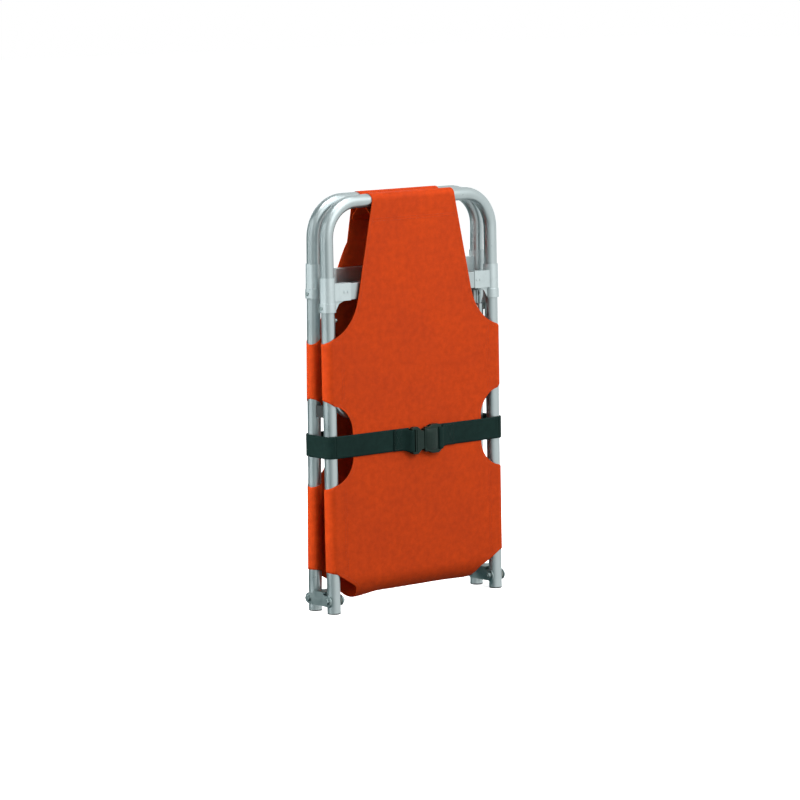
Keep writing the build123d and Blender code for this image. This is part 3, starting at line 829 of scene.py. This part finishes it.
# A light tent seen only in reflections: dark on the stretcher's left, bright on its right.
TENT_R = 1.2
TENT_H = 2.6
TENT_SIDES = 64
tent = Shell()
rims = [[tent.add((TENT_R * sin(tau * k / TENT_SIDES), TENT_R * cos(tau * k / TENT_SIDES), z))
         for k in range(TENT_SIDES)] for z in (-0.9, TENT_H)]
tent.join(rims[0], rims[1], closed=True)
tent_material = bpy.data.materials.new("tent")
tent_material.use_nodes = True
tent_tree = tent_material.node_tree
tent_tree.nodes.clear()
at = node(tent_tree, "ShaderNodeSeparateXYZ", {0: coords(tent_tree)})
across = math(tent_tree, "SUBTRACT", math(tent_tree, "MULTIPLY", at.outputs["X"], 0.766 / TENT_R),
              math(tent_tree, "MULTIPLY", at.outputs["Y"], 0.643 / TENT_R))
from_middle = math(tent_tree, "ABSOLUTE", math(tent_tree, "SUBTRACT", at.outputs["Z"], 0.45))
height_share = math(tent_tree, "MULTIPLY", from_middle, 0.35)
tent_level = math(tent_tree, "ADD", across, height_share)
tent_colour = ramp(tent_tree, spread(tent_tree, tent_level, 0.0, 1.0, -0.85, 0.75), (0.05, 0.12, 0.125),
                   (0.95, 0.98, 0.97), 0.12, 0.95)
glow = node(tent_tree, "ShaderNodeEmission", {"Color": tent_colour, "Strength": 0.85})
node(tent_tree, "ShaderNodeOutputMaterial", {0: glow.outputs[0]})
tent_piece = tent.make("tent", tent_material)
tent_piece.visible_camera = False
tent_piece.visible_diffuse = False
tent_piece.visible_shadow = False

world = bpy.data.worlds.new("studio")
bpy.context.scene.world = world
world.use_nodes = True
sky = world.node_tree
sky.nodes.clear()
direction = node(sky, "ShaderNodeTexCoord").outputs["Generated"]
axes = node(sky, "ShaderNodeSeparateXYZ", {0: direction})
sideways = math(sky, "SUBTRACT", math(sky, "MULTIPLY", axes.outputs["X"], 0.50),
                math(sky, "MULTIPLY", axes.outputs["Y"], 0.42))
lit = math(sky, "ADD", sideways, math(sky, "MULTIPLY", axes.outputs["Z"], 0.30))
room = ramp(sky, spread(sky, lit, 0.0, 1.0, -0.45, 0.65), (0.05, 0.10, 0.11), (0.92, 0.95, 0.96), 0.2, 0.95)
dim = node(sky, "ShaderNodeBackground", {"Color": room, "Strength": 0.68})
bright = node(sky, "ShaderNodeBackground", {"Color": (1, 1, 1, 1), "Strength": 1.0})
seen = node(sky, "ShaderNodeLightPath").outputs["Is Camera Ray"]
mixed = node(sky, "ShaderNodeMixShader", {0: seen, 1: dim.outputs[0], 2: bright.outputs[0]})
node(sky, "ShaderNodeOutputWorld", {0: mixed.outputs[0]})


def softbox(name, azimuth, elevation, distance, size, power, colour=(1, 1, 1)):
    """An area light aimed at the stretcher's middle. Azimuth 0 is in front, positive to its right."""
    data = bpy.data.lights.new(name, "AREA")
    data.shape = "RECTANGLE"
    data.size, data.size_y = size
    data.energy = power
    data.color = colour
    lamp = bpy.data.objects.new(name, data)
    bpy.context.scene.collection.objects.link(lamp)
    a, e = radians(azimuth), radians(elevation)
    away = Vector((sin(a) * cos(e), -cos(a) * cos(e), sin(e)))
    target = Vector((0, 0, 0.45))
    lamp.location = target + away * distance
    lamp.rotation_euler = away.to_track_quat("Z", "Y").to_euler()
    return lamp


softbox("key", 12, 38, 3.2, (1.6, 1.6), 62.0)
softbox("fill", 70, 20, 3.4, (1.2, 2.0), 20.0)
softbox("top", -20, 78, 2.6, (1.6, 1.0), 24.0)
for name, azimuth, elevation, power in (("side", -105, 12, 112.0), ("behind", 165, 30, 60.0), ("low", -8, 3, 9.0)):
    lamp = softbox(name, azimuth, elevation, 2.8, (1.4, 1.4), power)
    lamp.data.specular_factor = 0.0

AZIMUTH, ELEVATION, ROLL = radians(-40.04), radians(7.384), radians(-0.631)
DISTANCE = 8.2736
TARGET = Vector((-0.01412, MID_Y, 0.45831))
back = Vector((sin(AZIMUTH) * cos(ELEVATION), -cos(AZIMUTH) * cos(ELEVATION), sin(ELEVATION)))
right = (-back).cross(Vector((0, 0, 1))).normalized()
up = right.cross(-back)
turned_right = right * cos(ROLL) + up * sin(ROLL)
turned_up = up * cos(ROLL) - right * sin(ROLL)
camera_data = bpy.data.cameras.new("camera")
camera_data.lens = 164.37
camera_data.sensor_width = 36.0
camera_data.clip_end = 60.0
camera = bpy.data.objects.new("camera", camera_data)
bpy.context.scene.collection.objects.link(camera)
basis = Matrix((turned_right, turned_up, back)).transposed().to_4x4()
camera.matrix_world = Matrix.Translation(TARGET + back * DISTANCE) @ basis
bpy.context.scene.camera = camera
bpy.context.scene.view_settings.view_transform = "Standard"
